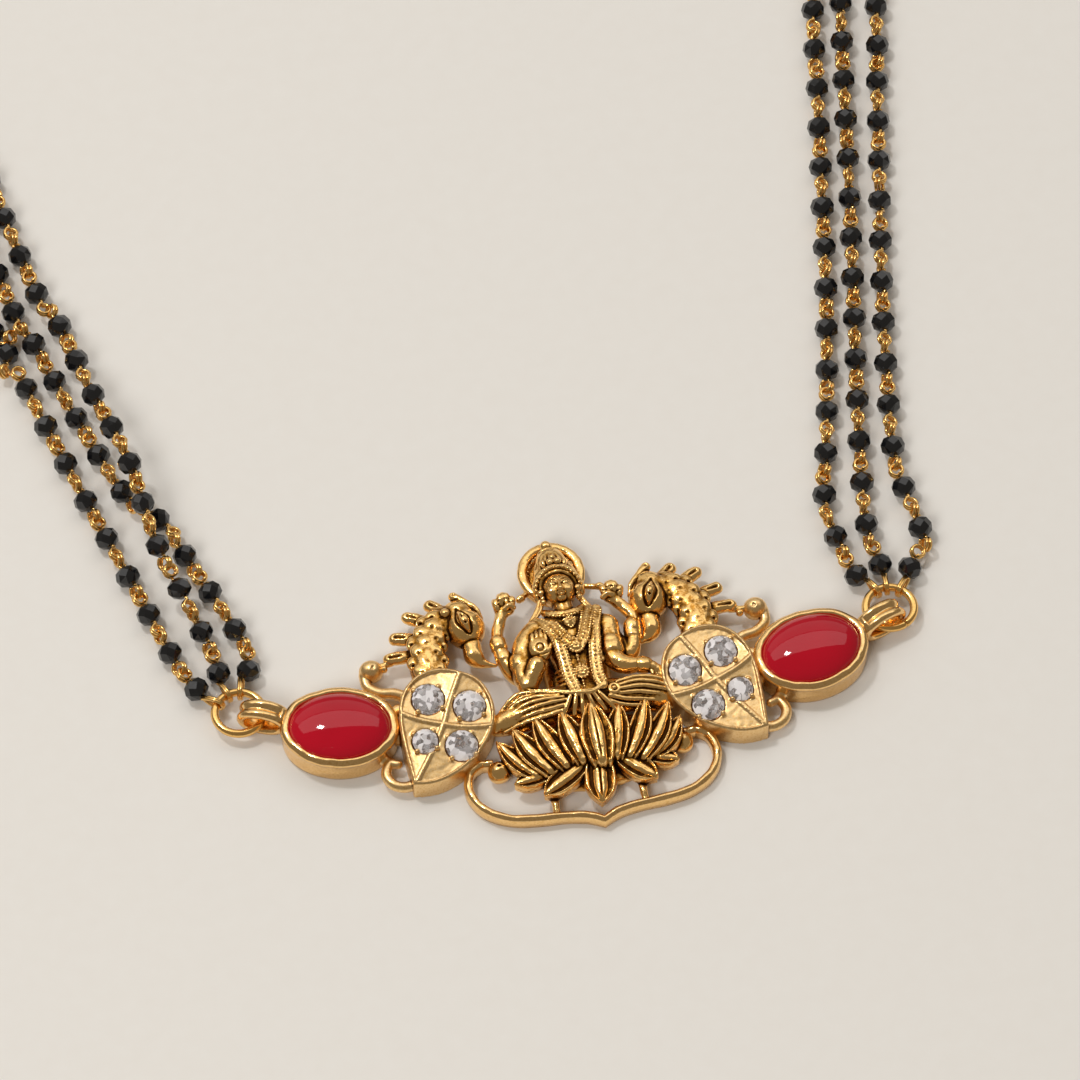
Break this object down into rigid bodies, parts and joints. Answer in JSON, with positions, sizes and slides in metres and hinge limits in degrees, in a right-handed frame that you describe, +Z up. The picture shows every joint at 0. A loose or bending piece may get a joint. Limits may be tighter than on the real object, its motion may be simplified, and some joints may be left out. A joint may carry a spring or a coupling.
{
  "type": "mangalsutra necklace",
  "caption": "Necklace with a cast gold-tone pendant of a seated four-armed deity on a lotus, red and white stones, and strands of small black beads.",
  "frame": {"origin": "on the pendant's flat back, on the surface that it lies on, at the middle of the pendant's length, below the seated figure's lap", "axes": "+X along the pendant to the viewer's right, +Y from the lotus towards the crown and the clasp, +Z up out of the pendant's flat back towards its face"},
  "size_m": [0.0988, 0.1983, 0.0041],
  "materials": {
    "cast_gold_plate": "cast brass, gold plated, dark patina left in the recesses",
    "gold_wire": "polished gold-plated wire",
    "red_cabochon": "opaque polished cabochon",
    "white_stone": "clear faceted stone, foil backed",
    "black_beads": "opaque black faceted glass"
  },
  "bodies": {
    "root": {"pendant_casting": "cast_gold_plate", "red_stone_left": "red_cabochon", "red_stone_right": "red_cabochon", "leaf_stone_left_1": "white_stone", "leaf_stone_left_2": "white_stone", "leaf_stone_left_3": "white_stone", "leaf_stone_left_4": "white_stone", "leaf_stone_right_1": "white_stone", "leaf_stone_right_2": "white_stone", "leaf_stone_right_3": "white_stone", "leaf_stone_right_4": "white_stone", "jump_ring_left": "gold_wire", "jump_ring_right": "gold_wire", "strand_left_1": "black_beads", "strand_left_2": "black_beads", "strand_left_3": "black_beads", "strand_right_1": "black_beads", "strand_right_2": "black_beads", "strand_right_3": "black_beads", "end_link_left_1": "gold_wire", "end_link_left_2": "gold_wire", "end_link_left_3": "gold_wire", "end_link_right_1": "gold_wire", "end_link_right_2": "gold_wire", "end_link_right_3": "gold_wire", "back_link_left_1": "gold_wire", "back_link_left_2": "gold_wire", "back_link_left_3": "gold_wire", "back_link_right_1": "gold_wire", "back_link_right_2": "gold_wire", "back_link_right_3": "gold_wire", "back_ring_left": "gold_wire", "back_ring_right": "gold_wire", "clasp": "gold_wire"}
  },
  "joints": []
}
